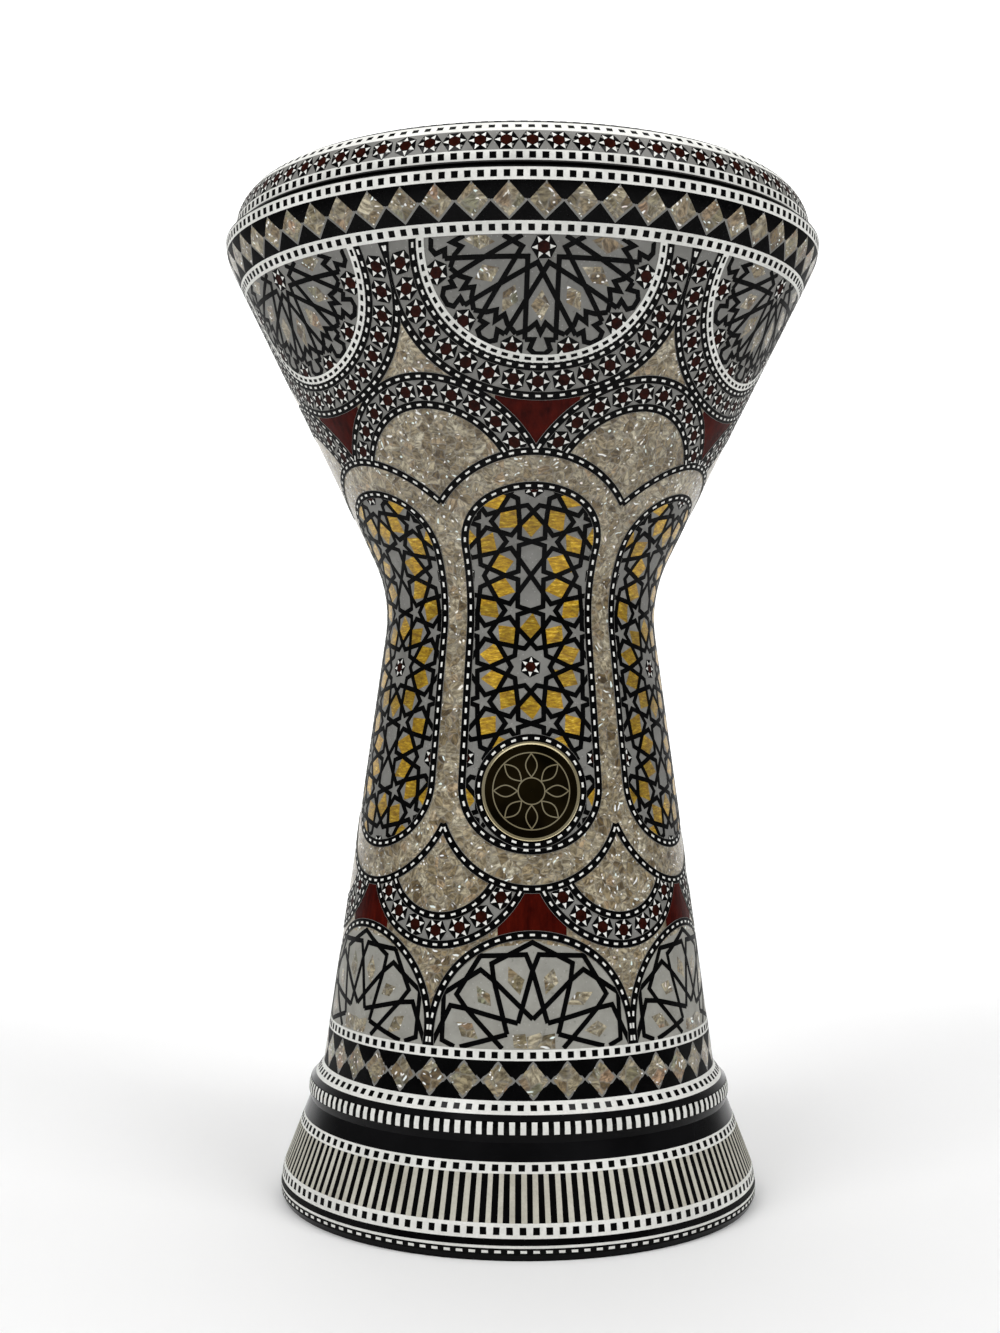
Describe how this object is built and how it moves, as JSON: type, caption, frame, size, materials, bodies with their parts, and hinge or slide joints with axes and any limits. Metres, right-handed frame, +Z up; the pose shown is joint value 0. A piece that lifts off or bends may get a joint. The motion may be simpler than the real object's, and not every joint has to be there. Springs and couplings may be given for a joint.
{
  "type": "goblet drum",
  "caption": "Goblet drum with an inlaid cast shell, a film head and a tension ring drawn down by hidden socket screws.",
  "frame": {"origin": "centre of the foot's flat face, on the drum's axis", "axes": "+Z up along the drum's axis towards the head, -Y towards the front, where the badge is"},
  "size_m": [0.2703, 0.2702, 0.4521],
  "materials": {
    "lacquered_casting": "gloss black lacquer outside, bare cast aluminium inside",
    "white_inlay": "polished bone-white inlay under clear lacquer",
    "black_inlay": "polished black inlay under clear lacquer",
    "grey_ground": "grey resin ground under clear lacquer",
    "pearl_inlay": "crushed mother-of-pearl in resin under clear lacquer",
    "mahogany": "dark red wood under clear lacquer",
    "badge_brass": "polished brass",
    "head_film": "satin synthetic drum film",
    "hoop_aluminium": "satin aluminium",
    "steel": "zinc-plated steel"
  },
  "bodies": {
    "shell": {"cast_shell": "lacquered_casting", "foot_dash_band": "black_inlay", "foot_pinstripe": "white_inlay", "flare_black_band": "black_inlay", "flare_squares_lower": "white_inlay", "flare_stripe_band": "black_inlay", "flare_squares_upper": "white_inlay", "bead_stripe_band": "black_inlay", "foot_squares_lower": "white_inlay", "shoulder_squares_band": "white_inlay", "upper_diamonds": "pearl_inlay", "upper_diamond_ground": "black_inlay", "collar_squares_band": "white_inlay", "foot_diamonds": "pearl_inlay", "foot_diamond_ground": "black_inlay", "foot_squares_upper": "white_inlay", "upper_scallop_strips": "black_inlay", "upper_medallion_grounds": "grey_ground", "upper_white_strips": "white_inlay", "upper_black_strips": "black_inlay", "upper_star_arcs": "grey_ground", "upper_outer_strips": "black_inlay", "upper_arch_fields": "pearl_inlay", "upper_arch_star_bands": "grey_ground", "upper_arch_strips": "black_inlay", "upper_red_triangles": "mahogany", "upper_spandrels": "pearl_inlay", "lower_scallop_strips": "black_inlay", "waist_pearl_field": "pearl_inlay", "waist_panel_borders": "black_inlay", "waist_panels": "grey_ground", "badge_ring": "black_inlay", "badge_disc": "badge_brass", "lower_medallion_grounds": "grey_ground", "lower_medallion_strips": "black_inlay", "lower_arch_fields": "pearl_inlay", "lower_arch_star_bands": "grey_ground", "lower_arch_strips": "black_inlay", "lower_red_triangles": "mahogany", "lower_spandrels": "pearl_inlay", "drum_head": "head_film", "bolt_washers": "steel"},
    "tension_ring": {"ring_casting": "lacquered_casting", "ring_squares_lower": "white_inlay", "ring_star_band": "grey_ground", "ring_squares_upper": "white_inlay", "ring_dash_band": "black_inlay", "head_hoop": "hoop_aluminium", "head_collar": "head_film"},
    "tuning_bolt_1": {"tuning_bolt_1": "steel"},
    "tuning_bolt_2": {"tuning_bolt_2": "steel"},
    "tuning_bolt_3": {"tuning_bolt_3": "steel"},
    "tuning_bolt_4": {"tuning_bolt_4": "steel"},
    "tuning_bolt_5": {"tuning_bolt_5": "steel"},
    "tuning_bolt_6": {"tuning_bolt_6": "steel"},
    "tuning_bolt_7": {"tuning_bolt_7": "steel"},
    "tuning_bolt_8": {"tuning_bolt_8": "steel"}
  },
  "joints": [
    {"name": "ring_travel", "type": "slide", "parent": "shell", "child": "tension_ring", "axis": [0, 0, 1], "range_m": [-0.001, 0.003], "deforming": ["head_collar"]},
    {"name": "tuning_bolt_1_turn", "type": "hinge", "parent": "shell", "child": "tuning_bolt_1", "pos_m": [0.122, 0, 0.42], "axis": [0, 0, 1], "range_deg": [-1360, 460]},
    {"name": "tuning_bolt_2_turn", "type": "hinge", "parent": "shell", "child": "tuning_bolt_2", "pos_m": [0.08627, 0.08627, 0.42], "axis": [0, 0, 1], "range_deg": [-1360, 460]},
    {"name": "tuning_bolt_3_turn", "type": "hinge", "parent": "shell", "child": "tuning_bolt_3", "pos_m": [0, 0.122, 0.42], "axis": [0, 0, 1], "range_deg": [-1360, 460]},
    {"name": "tuning_bolt_4_turn", "type": "hinge", "parent": "shell", "child": "tuning_bolt_4", "pos_m": [-0.08627, 0.08627, 0.42], "axis": [0, 0, 1], "range_deg": [-1360, 460]},
    {"name": "tuning_bolt_5_turn", "type": "hinge", "parent": "shell", "child": "tuning_bolt_5", "pos_m": [-0.122, 0, 0.42], "axis": [0, 0, 1], "range_deg": [-1360, 460]},
    {"name": "tuning_bolt_6_turn", "type": "hinge", "parent": "shell", "child": "tuning_bolt_6", "pos_m": [-0.08627, -0.08627, 0.42], "axis": [0, 0, 1], "range_deg": [-1360, 460]},
    {"name": "tuning_bolt_7_turn", "type": "hinge", "parent": "shell", "child": "tuning_bolt_7", "pos_m": [0, -0.122, 0.42], "axis": [0, 0, 1], "range_deg": [-1360, 460]},
    {"name": "tuning_bolt_8_turn", "type": "hinge", "parent": "shell", "child": "tuning_bolt_8", "pos_m": [0.08627, -0.08627, 0.42], "axis": [0, 0, 1], "range_deg": [-1360, 460]}
  ],
  "couplings": [
    {"joint": "tuning_bolt_1_turn", "follows": "ring_travel", "rad_per_m": -7854},
    {"joint": "tuning_bolt_2_turn", "follows": "ring_travel", "rad_per_m": -7854},
    {"joint": "tuning_bolt_3_turn", "follows": "ring_travel", "rad_per_m": -7854},
    {"joint": "tuning_bolt_4_turn", "follows": "ring_travel", "rad_per_m": -7854},
    {"joint": "tuning_bolt_5_turn", "follows": "ring_travel", "rad_per_m": -7854},
    {"joint": "tuning_bolt_6_turn", "follows": "ring_travel", "rad_per_m": -7854},
    {"joint": "tuning_bolt_7_turn", "follows": "ring_travel", "rad_per_m": -7854},
    {"joint": "tuning_bolt_8_turn", "follows": "ring_travel", "rad_per_m": -7854}
  ]
}
